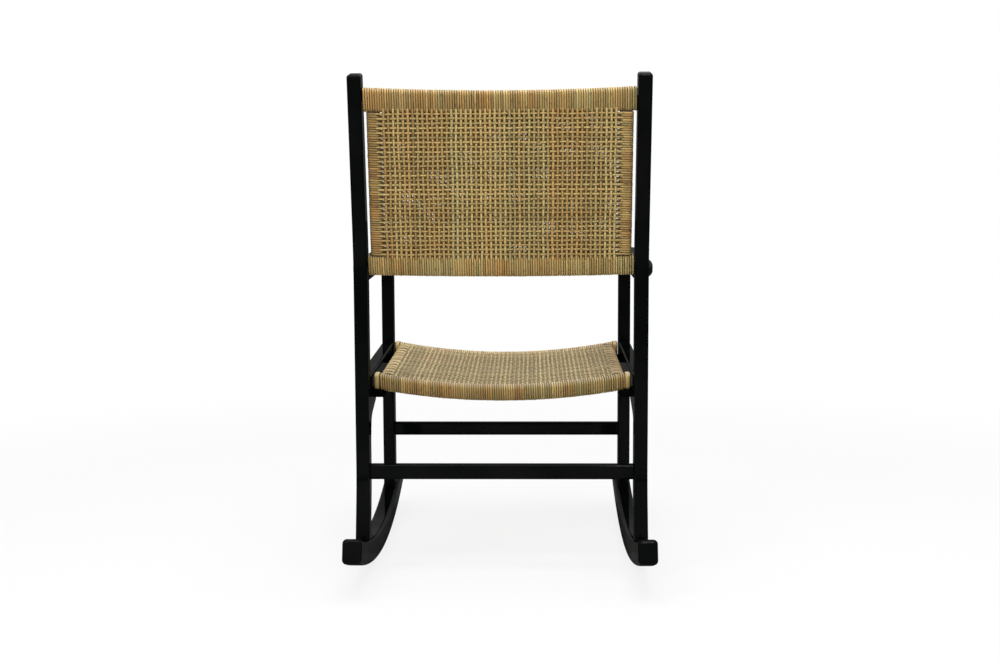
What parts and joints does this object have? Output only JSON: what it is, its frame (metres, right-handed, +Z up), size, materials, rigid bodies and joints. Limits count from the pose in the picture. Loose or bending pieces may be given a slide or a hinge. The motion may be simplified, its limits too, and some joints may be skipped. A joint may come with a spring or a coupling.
{
  "type": "rocking chair",
  "caption": "Bentwood rocking chair with curved rockers, arms, a dished woven cane seat and a flat woven cane back.",
  "frame": {"origin": "bottom centre of the chair's box, on the floor between the rockers", "axes": "+Z up, the sitter faces +Y, +X is the sitter's right"},
  "size_m": [0.578, 0.795, 0.9167],
  "materials": {
    "black_lacquer": "gloss",
    "bare_wood": "matte",
    "cane_wrapping": "satin",
    "cane_weave": "satin",
    "steel_screws": "satin"
  },
  "bodies": {
    "root": {"arm_dowels": "bare_wood", "arm_left": "black_lacquer", "arm_right": "black_lacquer", "back_bottom_rail": "bare_wood", "back_bottom_rail_wrap": "cane_wrapping", "back_frame_dowels": "bare_wood", "back_front_weave": "cane_weave", "back_panel_dowels": "bare_wood", "back_rear_weave": "cane_weave", "back_side_bar_left": "bare_wood", "back_side_bar_right": "bare_wood", "back_side_bar_wrap_left": "cane_wrapping", "back_side_bar_wrap_right": "cane_wrapping", "back_top_rail": "bare_wood", "back_top_rail_wrap": "cane_wrapping", "corner_block_screws": "steel_screws", "foot_dowels": "bare_wood", "front_corner_block_left": "black_lacquer", "front_corner_block_right": "black_lacquer", "front_post_left": "black_lacquer", "front_post_right": "black_lacquer", "front_stretcher": "black_lacquer", "knee_brace_left": "black_lacquer", "knee_brace_right": "black_lacquer", "knee_brace_screws": "steel_screws", "rear_corner_block_left": "black_lacquer", "rear_corner_block_right": "black_lacquer", "rear_post_left": "black_lacquer", "rear_post_right": "black_lacquer", "rear_stretcher": "black_lacquer", "rocker_left": "black_lacquer", "rocker_right": "black_lacquer", "seat_frame_dowels": "bare_wood", "seat_front_rail": "bare_wood", "seat_front_rail_wrap": "cane_wrapping", "seat_rear_rail": "bare_wood", "seat_rear_rail_wrap": "cane_wrapping", "seat_screws": "steel_screws", "seat_side_bar_left": "bare_wood", "seat_side_bar_right": "bare_wood", "seat_side_bar_wrap_left": "cane_wrapping", "seat_side_bar_wrap_right": "cane_wrapping", "seat_side_rail_left": "black_lacquer", "seat_side_rail_right": "black_lacquer", "seat_top_weave": "cane_weave", "seat_under_weave": "cane_weave"}
  },
  "joints": []
}
